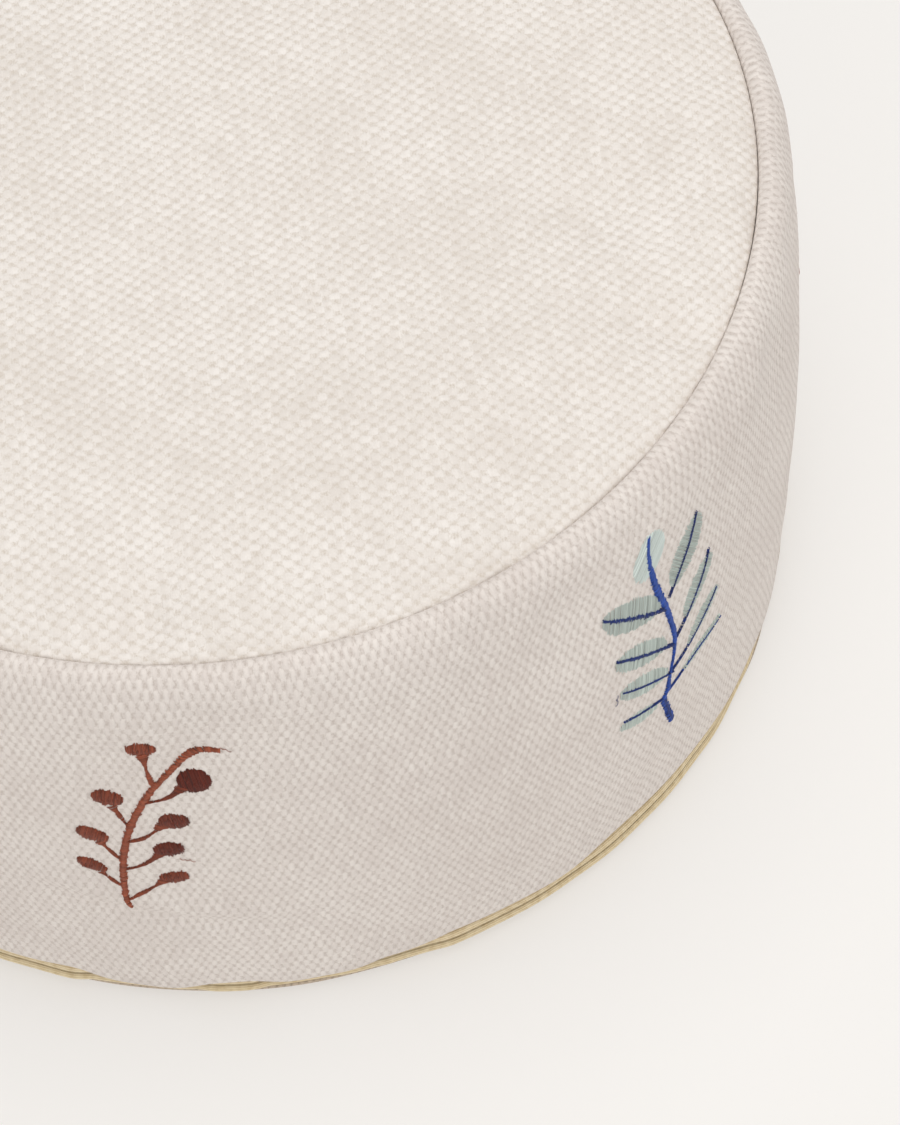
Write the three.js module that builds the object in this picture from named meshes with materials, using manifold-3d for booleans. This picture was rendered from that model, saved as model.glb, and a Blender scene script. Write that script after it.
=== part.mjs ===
// Round floor pouf: a zip-off cover of thick woven cotton, embroidered around its side, over a cushion.
// Millimetres, +Z up. The origin is on the floor, under the middle of the pouf.
import * as THREE from 'three';
import { mergeVertices } from 'three/addons/utils/BufferGeometryUtils.js';
import Module from 'manifold-3d';

const wasm = await Module();
wasm.setup();

// Driving dimensions
const POUF_RADIUS = 250;
const POUF_HEIGHT = 260;
const TOP_SEAM_RADIUS = 229.5;
const TOP_SEAM_HEIGHT = 247;
const CLOTH = 2;
const GAP = 0.3;
const COVER_STEPS = 48;
const CUSHION_STEPS = 24;

// Zip, as heights above the floor and radii from the axis
const ZIP_START = 150;
const ZIP_END = 390;
const ZIP_LEVEL = 9.4;
const ZIP_SLOT = 2.2;
const ZIP_LIP_RADIUS = 245.5;
const TAPE_INNER_RADIUS = 235;
const ZIP_LIP_DEPTH = 1.9;
const TAPE_THICKNESS = 0.7;
const COIL_RADII = [239.6, 243.1];
const COIL_HEIGHT = 1.7;
// How far the tapes and the coils stop short of the zip's ends, and the stops' span, in degrees
const TAPE_SHORTFALL = 1;
const COIL_SHORTFALL = 2;
const STOP_SPAN = [1.1, 1.8];
const BASE_EDGE_HEIGHT = 5.3;
const BAND_HEM_HEIGHT = 13.4;

// Slider and pull, measured along the zip, outwards from the axis, and up
const SLIDER_AZIMUTH = 154.5;
const BRIDGE_AXIS_RADIUS = 248.4;
const BACK_PLATE = { halfLength: 4.5, radii: [236.2, 238.3], halfHeight: 2.2 };
const NECK = { halfLength: 3, radii: [238, 247], halfHeight: 0.5 };
const FRONT_PLATE = { halfLength: 4.2, radii: [246.6, 247.6], halfHeight: 1.4 };
const BRIDGE = { halfLength: 4.2, radii: [249.2, 250.2], halfHeight: 0.8 };
const BRIDGE_POSTS = { from: 3, to: 4.2, radii: [247.2, 249.6], halfHeight: 0.8 };
const PULL_LENGTH = 22;
const PULL_WIDTH = 5;
const PULL_THICKNESS = 1;
const PULL_CORNER = 1.6;
const CROSSBAR_HALF = 0.45;
const EYE_LENGTH = 5.2;
const EYE_WIDTH = 2.8;

// Embroidery: seven motifs evenly spaced around the side. The band's own join lies between two ferns.
const MOTIF_COUNT = 7;
const FIRST_MOTIF_AZIMUTH = -96.5;
const FERN_MOTIFS = [1, 3, 4, 6];
const BAND_JOIN_AZIMUTH = 83.5;
const STITCH_LAYER = 0.5;
const MOTIF_HEIGHTS = [30, 247];

const radians = THREE.MathUtils.degToRad;
const group = new THREE.Group();

// --- Materials -----------------------------------------------------------------------------------

function cloth(color) {
  return new THREE.MeshStandardMaterial({ color, roughness: 0.95, metalness: 0 });
}

function metal(color) {
  return new THREE.MeshStandardMaterial({ color, roughness: 0.35, metalness: 0.9 });
}

const ECRU = '#e8e2d8';
const BASE_CLOTH = '#b5a494';
const ZIP_TAPE = '#c8b894';
const ZIP_COIL = '#d8cbb0';
const BERRY_BROWN = '#7a3a22';
const FERN_BLUE = '#23418c';
const FERN_SAGE = '#afbbb2';
const LINER = '#f2f0ea';
const FILLING = '#f7f6f2';
const THREAD = '#e9e3d6';
const ANTIQUE_BRASS = '#b09a68';

// --- Solid making --------------------------------------------------------------------------------

function indexedGeometry(positions, index) {
  const geometry = new THREE.BufferGeometry();
  geometry.setAttribute('position', new THREE.Float32BufferAttribute(positions, 3));
  geometry.setIndex(index);
  return geometry;
}

// Joins the shared corners and drops the triangles that this closes up, as happens on the axis.
function tidy(source) {
  const geometry = source.index ? source : source.clone();
  geometry.deleteAttribute('normal');
  geometry.deleteAttribute('uv');
  const merged = mergeVertices(geometry, 1e-5);
  const index = [];
  for (let i = 0; i < merged.index.count; i += 3) {
    const corners = [0, 1, 2].map((j) => merged.index.getX(i + j));
    if (new Set(corners).size === 3) index.push(...corners);
  }
  merged.setIndex(index);
  return merged;
}

function toSolid(source) {
  const geometry = tidy(source);
  return new wasm.Manifold(new wasm.Mesh({
    numProp: 3,
    vertProperties: new Float32Array(geometry.attributes.position.array),
    triVerts: new Uint32Array(geometry.index.array),
  }));
}

function toGeometry(solid) {
  const mesh = solid.getMesh();
  return indexedGeometry(Array.from(mesh.vertProperties), Array.from(mesh.triVerts));
}

function unite(geometries) {
  return geometries.map(toSolid).reduce((joined, solid) => joined.add(solid));
}

// Azimuths from start to end, with every corner of the ring's own facets in between.
function facetAngles(start, end, steps) {
  const step = 360 / steps;
  const angles = [start];
  for (let k = Math.floor(start / step) + 1; k * step < end - 1e-6; k += 1) {
    if (k * step > start + 1e-6) angles.push(k * step);
  }
  angles.push(end);
  return angles;
}

// Turns a closed outline of [radius, height] points, listed counter-clockwise, about Z from start to end.
function turned(outline, start = 0, end = 360, steps = COVER_STEPS) {
  const closed = end - start === 360;
  const angles = facetAngles(start, end, steps);
  if (closed) angles.pop();
  const positions = angles.flatMap((angle) => {
    const [c, s] = [Math.cos(radians(angle)), Math.sin(radians(angle))];
    return outline.flatMap(([r, z]) => [r * c, r * s, z]);
  });
  const count = outline.length;
  const index = [];
  for (let i = 0; i < (closed ? angles.length : angles.length - 1); i += 1) {
    const here = i * count;
    const next = ((i + 1) % angles.length) * count;
    for (let j = 0; j < count; j += 1) {
      const k = (j + 1) % count;
      index.push(here + j, next + j, next + k, here + j, next + k, here + k);
    }
  }
  if (!closed) {
    const face = THREE.ShapeUtils.triangulateShape(outline.map(([r, z]) => new THREE.Vector2(r, z)), []);
    const last = (angles.length - 1) * count;
    for (const [a, b, c] of face) index.push(a, b, c, last + a, last + c, last + b);
  }
  return indexedGeometry(positions, index);
}

// A ring or arc with a rectangular section.
function hoop([inner, outer], [low, high], start, end, steps) {
  return turned([[inner, low], [outer, low], [outer, high], [inner, high]], start, end, steps);
}

// A thread lying around the axis, with a three-sided section.
function ringThread(radius, height) {
  const [width, rise] = [0.5, 0.3];
  const foot = height - rise;
  return turned([[radius - width, foot], [radius, foot], [radius - width / 2, height + rise]]);
}

function addPart(name, geometry, material) {
  const mesh = new THREE.Mesh(tidy(geometry), material);
  mesh.name = name;
  group.add(mesh);
  return mesh;
}

// --- Cover: side band ----------------------------------------------------------------------------

// Outer face of the band, from its hem up to the rolled edge beside the top seam.
const BAND_FACE = [
  [244.6, BAND_HEM_HEIGHT], [245.6, 15.5], [246.4, 30], [249, 78], [POUF_RADIUS, 130], [248.6, 180],
  [245.8, 220], [241.8, 239], [238.2, 246], [234.6, 249.2], [232.4, 249.2],
];
const BAND_LINING = [
  [236.4, 245.6], [240, 238], [243.7, 220], [246.6, 180], [248, 130], [247, 78], [244.4, 30],
  [243.4, BAND_HEM_HEIGHT + CLOTH],
];
const SEAM_ALLOWANCE = 11;
const FLANGE_BOTTOM = TOP_SEAM_HEIGHT - SEAM_ALLOWANCE;

// The band's ends, in degrees from their join: half the slit, the turned-in fold and the pressed-open edge.
const JOIN_SPAN = 0.04;
const FOLD_SPAN = 0.46;
const ALLOWANCE_SPAN = 2.4;
const ALLOWANCE_HEIGHTS = [30, 215];
// How far inside the band's face its fold starts, its allowances start, and they end.
const FOLD_DEPTH = 1;
const PRESSED_DEPTH = 2.4;
const ALLOWANCE_DEPTH = 4.4;

// The band's face set inwards by a distance, at the same heights.
function insideBand(distance, [low, high] = [BAND_HEM_HEIGHT, POUF_HEIGHT]) {
  return BAND_FACE.filter(([, z]) => z >= low && z <= high).map(([r, z]) => [r - distance, z]);
}

// A layer of the band between two depths inside its face, over the height of the join's allowances.
function bandLayer(near, far) {
  return [...insideBand(near, ALLOWANCE_HEIGHTS), ...insideBand(far, ALLOWANCE_HEIGHTS).reverse()];
}

function sideBand() {
  const flange = [[TOP_SEAM_RADIUS + GAP, 247.6], [TOP_SEAM_RADIUS + GAP, FLANGE_BOTTOM],
    [TOP_SEAM_RADIUS + GAP + CLOTH, FLANGE_BOTTOM], [TOP_SEAM_RADIUS + 2.6, 246.8]];
  const hem = [[TAPE_INNER_RADIUS, BAND_HEM_HEIGHT + CLOTH], [TAPE_INNER_RADIUS, BAND_HEM_HEIGHT]];
  const section = [...BAND_FACE, ...flange, ...BAND_LINING, ...hem];
  const start = BAND_JOIN_AZIMUTH + JOIN_SPAN;
  const end = BAND_JOIN_AZIMUTH + 360 - JOIN_SPAN;
  const turnIn = bandLayer(FOLD_DEPTH, ALLOWANCE_DEPTH);
  const pressed = bandLayer(PRESSED_DEPTH, ALLOWANCE_DEPTH);
  const pieces = [turned(section, start, end)];
  for (const [from, side] of [[start, 1], [end, -1]]) {
    const fold = from + side * FOLD_SPAN;
    const edge = from + side * ALLOWANCE_SPAN;
    pieces.push(turned(turnIn, Math.min(from, fold), Math.max(from, fold)));
    pieces.push(turned(pressed, Math.min(from, edge), Math.max(from, edge)));
  }
  return toGeometry(unite(pieces));
}

addPart('side_band', sideBand(), cloth(ECRU));

// The seam that closes the band into a ring: a thread just inside the two pressed-open allowances.
const JOIN_THREAD_SPAN = 0.06;
addPart('band_join_thread', turned(
  bandLayer(ALLOWANCE_DEPTH + 0.4, ALLOWANCE_DEPTH + 0.9),
  BAND_JOIN_AZIMUTH - JOIN_THREAD_SPAN,
  BAND_JOIN_AZIMUTH + JOIN_THREAD_SPAN,
), cloth(THREAD));

// --- Cover: top panel and base panel -------------------------------------------------------------

const CROWN = [[225, 249.3], [208, 253.2], [175, 256.8], [130, 259], [62, POUF_HEIGHT]];

function topPanel() {
  const outer = [[TOP_SEAM_RADIUS - CLOTH, FLANGE_BOTTOM], [TOP_SEAM_RADIUS, FLANGE_BOTTOM],
    [TOP_SEAM_RADIUS, 246.8]];
  const under = CROWN.map(([r, z]) => [r - 0.2, z - CLOTH]).reverse();
  return turned([...outer, ...CROWN, [0, POUF_HEIGHT], [0, POUF_HEIGHT - CLOTH], ...under,
    [TOP_SEAM_RADIUS - CLOTH, 245.8]]);
}

// The base panel ends in a doubled hem along the zip. Elsewhere its edge stands up to meet the band.
function basePanel() {
  const panel = turned([[0, 0], [228, 0], [238, 0.9], [243.4, 2.6], [245.4, 4.3], [244.9, BASE_EDGE_HEIGHT],
    [TAPE_INNER_RADIUS, BASE_EDGE_HEIGHT], [TAPE_INNER_RADIUS, 2.9], [227, CLOTH], [0, CLOTH]]);
  const plainEdge = hoop([TAPE_INNER_RADIUS, 245], [BASE_EDGE_HEIGHT - 1, BAND_HEM_HEIGHT - GAP],
    ZIP_END - 360 + 1.2, ZIP_START - 1.2);
  return toGeometry(unite([panel, plainEdge]));
}

addPart('top_panel', topPanel(), cloth(ECRU));
addPart('base_panel', basePanel(), cloth(BASE_CLOTH));
addPart('top_seam_thread', ringThread(TOP_SEAM_RADIUS - CLOTH - 0.4, 242), cloth(THREAD));

// --- Zip -----------------------------------------------------------------------------------------

// Each tape lies against its hem and ends outside in a lip that turns towards the slot.
function zipTape(hemHeight, side) {
  const back = hemHeight - side * GAP;
  const front = back - side * TAPE_THICKNESS;
  const lipEdge = ZIP_LEVEL + side * ZIP_SLOT / 2;
  const lipBack = ZIP_LIP_RADIUS - ZIP_LIP_DEPTH;
  const section = [[TAPE_INNER_RADIUS, back], [ZIP_LIP_RADIUS, back], [ZIP_LIP_RADIUS, lipEdge],
    [lipBack, lipEdge], [lipBack, front], [TAPE_INNER_RADIUS, front]];
  const [start, end] = [ZIP_START + TAPE_SHORTFALL, ZIP_END - TAPE_SHORTFALL];
  return turned(side > 0 ? section.reverse() : section, start, end);
}

function zipCoil(side) {
  const near = ZIP_LEVEL + side * ZIP_SLOT / 2;
  const far = near + side * COIL_HEIGHT;
  const [start, end] = [ZIP_START + COIL_SHORTFALL, ZIP_END - COIL_SHORTFALL];
  return hoop(COIL_RADII, [Math.min(near, far), Math.max(near, far)], start, end);
}

// A metal clip across both coils.
function zipStop(from, to) {
  const reach = ZIP_SLOT / 2 + COIL_HEIGHT;
  return hoop(COIL_RADII, [ZIP_LEVEL - reach, ZIP_LEVEL + reach], from, to);
}

addPart('zipper_tape_upper', zipTape(BAND_HEM_HEIGHT, 1), cloth(ZIP_TAPE));
addPart('zipper_tape_lower', zipTape(BASE_EDGE_HEIGHT, -1), cloth(ZIP_TAPE));
addPart('zipper_coil_upper', zipCoil(1), cloth(ZIP_COIL));
addPart('zipper_coil_lower', zipCoil(-1), cloth(ZIP_COIL));
const [STOP_NEAR, STOP_FAR] = STOP_SPAN;
addPart('zipper_stop_start', zipStop(ZIP_START + STOP_NEAR, ZIP_START + STOP_FAR), metal(ANTIQUE_BRASS));
addPart('zipper_stop_end', zipStop(ZIP_END - STOP_FAR, ZIP_END - STOP_NEAR), metal(ANTIQUE_BRASS));

// A block about the zip's level, given by its span along the zip, its radii and half its height.
function block([from, to], [inner, outer], halfHeight) {
  const box = new THREE.BoxGeometry(outer - inner, to - from, 2 * halfHeight);
  return box.translate((inner + outer) / 2, (from + to) / 2, ZIP_LEVEL);
}

// A back plate behind the coils, a thin neck through the slot, and a bridge in front for the pull.
function zipSlider() {
  const plates = [BACK_PLATE, NECK, FRONT_PLATE, BRIDGE].map(({ halfLength, radii, halfHeight }) =>
    block([-halfLength, halfLength], radii, halfHeight));
  const { from, to, radii, halfHeight } = BRIDGE_POSTS;
  const posts = [[-to, -from], [from, to]].map((span) => block(span, radii, halfHeight));
  return toGeometry(unite([...plates, ...posts]));
}

// A flat tab whose eye hangs on the bridge by a thin crossbar.
function zipPull() {
  const half = PULL_WIDTH / 2;
  const straight = PULL_LENGTH - PULL_CORNER;
  const tab = new THREE.Shape();
  tab.moveTo(-CROSSBAR_HALF, -half);
  tab.lineTo(straight, -half);
  tab.quadraticCurveTo(PULL_LENGTH, -half, PULL_LENGTH, PULL_CORNER - half);
  tab.lineTo(PULL_LENGTH, half - PULL_CORNER);
  tab.quadraticCurveTo(PULL_LENGTH, half, straight, half);
  tab.lineTo(-CROSSBAR_HALF, half);
  const eye = new THREE.Path();
  eye.moveTo(CROSSBAR_HALF, -EYE_WIDTH / 2);
  eye.lineTo(CROSSBAR_HALF, EYE_WIDTH / 2);
  eye.lineTo(EYE_LENGTH, EYE_WIDTH / 2);
  eye.lineTo(EYE_LENGTH, -EYE_WIDTH / 2);
  tab.holes.push(eye);
  const geometry = new THREE.ExtrudeGeometry(tab, {
    depth: PULL_THICKNESS, bevelEnabled: false, curveSegments: 3,
  });
  geometry.translate(0, 0, -PULL_THICKNESS / 2);
  const along = new THREE.Vector3(0, 1, 0);
  const up = new THREE.Vector3(0, 0, 1);
  geometry.applyMatrix4(new THREE.Matrix4().makeBasis(along, up, new THREE.Vector3(1, 0, 0)));
  return geometry.translate(BRIDGE_AXIS_RADIUS, 0, ZIP_LEVEL);
}

addPart('zipper_slider', zipSlider(), metal(ANTIQUE_BRASS)).rotation.z = radians(SLIDER_AZIMUTH);
addPart('zipper_pull', zipPull(), metal(ANTIQUE_BRASS)).rotation.z = radians(SLIDER_AZIMUTH);

// --- Embroidery ----------------------------------------------------------------------------------
// Motifs are drawn flat, with x along the band to the right as seen from outside and y as the height
// above the floor. Each is pushed through the band's face and keeps only a thin layer that lies on it.

function leafShape(root, angle, length, width) {
  const axis = new THREE.Vector2(Math.cos(radians(angle)), Math.sin(radians(angle)));
  const side = new THREE.Vector2(-axis.y, axis.x);
  const start = new THREE.Vector2(...root);
  const at = (along, across) => start.clone().addScaledVector(axis, along).addScaledVector(side, across);
  const shape = new THREE.Shape();
  shape.moveTo(...at(0, 0));
  shape.quadraticCurveTo(...at(length * 0.45, -width), ...at(length, 0));
  shape.quadraticCurveTo(...at(length * 0.45, width), ...at(0, 0));
  return shape;
}

// A ribbon of a given width along a curve through the points.
function ribbonShape(points, width, steps) {
  const curve = new THREE.CatmullRomCurve3(points.map(([x, y]) => new THREE.Vector3(x, y, 0)));
  const sides = [[], []];
  for (let i = 0; i <= steps; i += 1) {
    const p = curve.getPoint(i / steps);
    const t = curve.getTangent(i / steps);
    sides[0].push(new THREE.Vector2(p.x + t.y * width / 2, p.y - t.x * width / 2));
    sides[1].unshift(new THREE.Vector2(p.x - t.y * width / 2, p.y + t.x * width / 2));
  }
  return new THREE.Shape([...sides[0], ...sides[1]]);
}

function ovalShape([x, y], width, height) {
  const shape = new THREE.Shape();
  shape.absellipse(x, y, width / 2, height / 2, 0, Math.PI * 2);
  return shape;
}

const MOTIF_HALF_SPAN = 15;
const PUSH = [POUF_RADIUS - 30, POUF_RADIUS + 10];

// Cuts a layer of the given standing height out of the shapes pushed outwards at an azimuth.
function stitched(shapes, azimuth, layer) {
  const angle = radians(azimuth);
  const right = new THREE.Vector3(-Math.sin(angle), Math.cos(angle), 0);
  const out = new THREE.Vector3(Math.cos(angle), Math.sin(angle), 0);
  const frame = new THREE.Matrix4().makeBasis(right, new THREE.Vector3(0, 0, 1), out);
  const prisms = shapes.map((shape) => {
    const prism = new THREE.ExtrudeGeometry(shape, {
      depth: PUSH[1] - PUSH[0], bevelEnabled: false, curveSegments: 3,
    });
    return prism.translate(0, 0, PUSH[0]).applyMatrix4(frame);
  });
  const far = insideBand(-layer - STITCH_LAYER, MOTIF_HEIGHTS);
  const near = insideBand(-layer, MOTIF_HEIGHTS).reverse();
  const shell = turned([...far, ...near], azimuth - MOTIF_HALF_SPAN, azimuth + MOTIF_HALF_SPAN);
  return toGeometry(unite(prisms).intersect(toSolid(shell)));
}

const FERN_STEM = [
  [7, 76], [0.5, 102.5], [4.5, 122], [7, 145], [2.5, 171.5], [-3, 198], [-3.5, 225],
];
const FERN_STEM_WIDTH = 2.6;
const UNDERLAY_WIDTH = 2;
const MIDRIB_WIDTH = 1.6;
const MIDRIB_SHARE = 0.88;
// Each leaf: the height of its root on the stem, its angle, its length and its width.
const FERN_LEAVES = [
  [103.5, 155, 25, 9], [118.5, 146, 34, 13], [139.5, 143, 39, 15], [169.5, 141, 41, 18],
  [106, 10, 38, 7], [120.5, 38, 37, 10], [143, 57, 41, 13], [175.5, 61, 40, 17],
  [198, 90, 30, 18],
];

function onStem(height) {
  const k = FERN_STEM.findIndex(([, y]) => y > height);
  const [[x0, y0], [x1, y1]] = [FERN_STEM[k - 1], FERN_STEM[k]];
  return [x0 + (x1 - x0) * (height - y0) / (y1 - y0), height];
}

function fernLeaves(azimuth) {
  const leaves = FERN_LEAVES.map(([height, angle, length, width]) =>
    leafShape(onStem(height), angle, length, width));
  return stitched([...leaves, ribbonShape(FERN_STEM.slice(1), UNDERLAY_WIDTH, 5)], azimuth, GAP);
}

function fernStem(azimuth) {
  const midribs = FERN_LEAVES.map(([height, angle, length]) => {
    const root = onStem(height);
    const reach = length * MIDRIB_SHARE;
    const tip = [root[0] + Math.cos(radians(angle)) * reach, root[1] + Math.sin(radians(angle)) * reach];
    return ribbonShape([root, tip], MIDRIB_WIDTH, 1);
  });
  const stem = ribbonShape(FERN_STEM, FERN_STEM_WIDTH, 6);
  return stitched([...midribs, stem], azimuth, 2 * GAP + STITCH_LAYER);
}

const BERRY_STEM = [
  [-15, 91.5], [-16.5, 104.5], [-13.5, 136], [-7, 162.5], [2.5, 185.5], [13, 200], [20, 207.5],
  [30.5, 207],
];
const BERRY_STEM_WIDTH = 2.8;
const STALK_WIDTH = 1.8;
const BERRY_SIZE = [12.5, 12];
// Each berry: its middle, and where its stalk leaves the stem.
const BERRIES = [
  [[-28, 122.5], [-16.5, 107]], [[-25, 148], [-14.5, 130]], [[-16, 177.5], [-9, 157]],
  [[0.5, 212.5], [3, 188]], [[4.5, 116.5], [-16, 97.5]], [[4.5, 139.5], [-15, 122]],
  [[8.5, 161.5], [-11.5, 145]], [[19, 189.5], [-2.5, 174.5]],
];

function berrySprig(azimuth) {
  const berries = BERRIES.map(([middle]) => ovalShape(middle, ...BERRY_SIZE));
  const stalks = BERRIES.map(([middle, root]) => ribbonShape([root, middle], STALK_WIDTH, 1));
  const stem = ribbonShape(BERRY_STEM, BERRY_STEM_WIDTH, 7);
  return stitched([...berries, ...stalks, stem], azimuth, GAP);
}

let ferns = 0;
let sprigs = 0;
for (let i = 0; i < MOTIF_COUNT; i += 1) {
  const azimuth = FIRST_MOTIF_AZIMUTH + (i * 360) / MOTIF_COUNT;
  if (FERN_MOTIFS.includes(i)) {
    ferns += 1;
    addPart(`fern_leaves_${ferns}`, fernLeaves(azimuth), cloth(FERN_SAGE));
    addPart(`fern_stem_${ferns}`, fernStem(azimuth), cloth(FERN_BLUE));
  } else {
    sprigs += 1;
    addPart(`berry_sprig_${sprigs}`, berrySprig(azimuth), cloth(BERRY_BROWN));
  }
}

// --- Inner cushion -------------------------------------------------------------------------------

const LINER_CLOTH = 0.8;
const CUSHION_SIDE = [[228, 7], [232, 16.5], [240, 48], [243.6, 130], [241.8, 180], [235, 222]];
const CUSHION_TOP = [[234.2, 223], [225, 234.6], [210, 244], [165, 252.6], [100, 255.8], [0, 256.8]];
const CUSHION_BASE = [[0, 2.6], [222, 2.6], [226.6, 5.8]];

// A sheet of lining: a run of outer points, listed counter-clockwise, backed by the same run moved inwards.
function liningSheet(run, [inwards, upwards]) {
  const back = run.map(([r, z]) => [Math.max(0, r - inwards), z + upwards]).reverse();
  return turned([...run, ...back], 0, 360, CUSHION_STEPS);
}

// The loose fill, which stops short of its lining all round.
function filling() {
  const inset = LINER_CLOTH + GAP;
  const base = CUSHION_BASE.map(([r, z]) => [Math.max(0, r - inset), z + inset]);
  const side = CUSHION_SIDE.map(([r, z]) => [r - inset, z]).slice(1);
  const top = CUSHION_TOP.map(([r, z]) => [Math.max(0, r - inset), z - inset - 0.2]);
  return turned([...base, ...side, ...top], 0, 360, CUSHION_STEPS);
}

addPart('liner_side', liningSheet(CUSHION_SIDE, [LINER_CLOTH, 0]), cloth(LINER));
addPart('liner_top', liningSheet(CUSHION_TOP, [0, -LINER_CLOTH]), cloth(LINER));
addPart('liner_base', liningSheet(CUSHION_BASE, [0, LINER_CLOTH]), cloth(LINER));
addPart('filling', filling(), cloth(FILLING));

export default group;
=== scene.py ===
"""Looks for a round floor pouf: woven cotton cover, embroidered side, concealed zip. Metres, +Z up."""
import math

import bmesh
import bpy
import numpy as np
from mathutils import Matrix, Vector


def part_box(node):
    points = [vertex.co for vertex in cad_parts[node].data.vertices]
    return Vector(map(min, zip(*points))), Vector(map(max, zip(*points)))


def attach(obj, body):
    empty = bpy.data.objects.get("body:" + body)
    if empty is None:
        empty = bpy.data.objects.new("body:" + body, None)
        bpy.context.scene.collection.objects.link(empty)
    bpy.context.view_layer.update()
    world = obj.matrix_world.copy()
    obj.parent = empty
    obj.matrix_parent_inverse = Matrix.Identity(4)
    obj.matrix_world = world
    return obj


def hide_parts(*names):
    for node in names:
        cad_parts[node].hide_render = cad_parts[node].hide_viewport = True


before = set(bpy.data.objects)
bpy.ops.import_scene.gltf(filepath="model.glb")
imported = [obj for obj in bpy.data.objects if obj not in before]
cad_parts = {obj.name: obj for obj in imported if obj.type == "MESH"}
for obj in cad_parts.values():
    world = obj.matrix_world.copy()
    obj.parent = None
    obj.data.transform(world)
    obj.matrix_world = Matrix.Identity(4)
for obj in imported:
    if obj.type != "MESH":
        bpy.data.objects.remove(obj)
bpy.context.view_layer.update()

MM = 0.001
TAU = 2 * math.pi

# --- Sizes, from the frame ---

POUF_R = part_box("side_band")[1].x
HEM_Z, ROLL_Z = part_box("side_band")[0].z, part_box("side_band")[1].z
SEAM_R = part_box("top_panel")[1].x
CROWN_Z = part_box("top_panel")[1].z
join_low, join_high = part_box("band_join_thread")
JOIN_AZ = math.atan2(join_low.y + join_high.y, join_low.x + join_high.x)
CLOTH = 2 * MM
GAP = 0.3 * MM
BASE_EDGE_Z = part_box("zipper_tape_lower")[0].z - GAP

# The plain sewn edge at the back and, in the rest of the turn, the zip's tapes, in degrees.
PLAIN_EDGE_MIDDLE = 90
PLAIN_EDGE_HALF = 60
TAPE_SHORTFALL = 1
TAPE_ARC = (math.radians(PLAIN_EDGE_MIDDLE + PLAIN_EDGE_HALF + TAPE_SHORTFALL),
            math.radians(PLAIN_EDGE_MIDDLE - PLAIN_EDGE_HALF - TAPE_SHORTFALL + 360))
# How far from the plain edge's middle the base's edge starts to rise, and stands at its full height.
PLAIN_EDGE_RAMP = (PLAIN_EDGE_HALF + 0.8, PLAIN_EDGE_HALF + 0.2)


# --- Helpers: curves, fields and meshes ---

def smooth_path(points, spacing):
    """A Catmull-Rom curve in metres through points in millimetres, cut to pieces no longer than spacing."""
    p = np.array(points, float)
    ends = np.vstack([2 * p[0] - p[1], p, 2 * p[-1] - p[-2]])
    path = []
    for k in range(len(p) - 1):
        a, b, c, d = ends[k:k + 4]
        count = max(2, math.ceil(np.linalg.norm(c - b) / spacing))
        t = np.arange(count)[:, None] / count
        square, cube = 2 * a - 5 * b + 4 * c - d, 3 * b - a - 3 * c + d
        path.append(b + (c - a) * t / 2 + square * t**2 / 2 + cube * t**3 / 2)
    path.append(p[-1:])
    return np.vstack(path) * MM


def arc_lengths(path):
    return np.concatenate([[0], np.cumsum(np.linalg.norm(np.diff(path, axis=0), axis=1))])


def there_and_back(path):
    """How far each point is along a sheet whose outline runs out along one face and back along the other."""
    length = arc_lengths(path)
    return np.minimum(length, length[-1] - length)


def bell(x, middle, width):
    return np.exp(-(((x - middle) / width) ** 2))


def ease(x, start, end):
    t = np.clip((x - start) / (end - start), 0, 1)
    return t * t * (3 - 2 * t)


def turn_from(az, middle):
    """The signed angle from middle to az, in degrees, within half a turn."""
    return np.degrees((az - math.radians(middle) + math.pi) % TAU - math.pi)


def ripple(seed, az, slowest, fastest, count=14):
    """Smooth noise round a ring, of roughly unit size, from a few waves of whole numbers of turns."""
    rng = np.random.RandomState(seed)
    total = np.zeros_like(az)
    for _ in range(count):
        total = total + np.cos(rng.randint(slowest, fastest + 1) * az + rng.uniform(0, TAU))
    return total / math.sqrt(count / 2)


def ripple2(seed, az, along, slowest, fastest, length, count=18):
    """Smooth noise on a wall: round the ring, and along it with waves no shorter than length."""
    rng = np.random.RandomState(seed)
    total = np.zeros(np.broadcast(az, along).shape)
    for _ in range(count):
        turns, pace = rng.randint(slowest, fastest + 1), rng.uniform(-TAU / length, TAU / length)
        total = total + np.cos(turns * az + pace * along + rng.uniform(0, TAU))
    return total / math.sqrt(count / 2)


class Field:
    """Values on a grid of rows (along) and columns (round the ring), read smoothly in between."""

    def __init__(self, values, low, high):
        self.values, self.low, self.high = values, low, high

    def __call__(self, az, along):
        rows, columns = self.values.shape
        u = (np.asarray(az) % TAU) / TAU * columns
        v = np.clip((np.asarray(along) - self.low) / (self.high - self.low), 0, 1) * (rows - 1)
        u, v = np.broadcast_arrays(u, v)
        i, j = np.floor(u).astype(int), np.minimum(np.floor(v).astype(int), rows - 2)
        a, b = u - i, v - j
        total = np.zeros(u.shape)
        for k, wa in enumerate(self._weights(a)):
            for m, wb in enumerate(self._weights(b)):
                row = np.clip(j + m - 1, 0, rows - 1)
                total = total + wa * wb * self.values[row, (i + k - 1) % columns]
        return total

    @staticmethod
    def _weights(t):
        return ((-t + 2 * t**2 - t**3) / 2, (2 - 5 * t**2 + 3 * t**3) / 2,
                (t + 4 * t**2 - 3 * t**3) / 2, (t**3 - t**2) / 2)


def new_object(name, data):
    piece = bpy.data.objects.new(name, data)
    bpy.context.collection.objects.link(piece)
    return piece


def object_from(name, vertices, faces, smooth=True):
    mesh = bpy.data.meshes.new(name)
    mesh.from_pydata(np.asarray(vertices).tolist(), [], [tuple(f) for f in faces])
    mesh.validate()
    mesh.polygons.foreach_set("use_smooth", [smooth] * len(mesh.polygons))
    return new_object(name, mesh)


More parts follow.
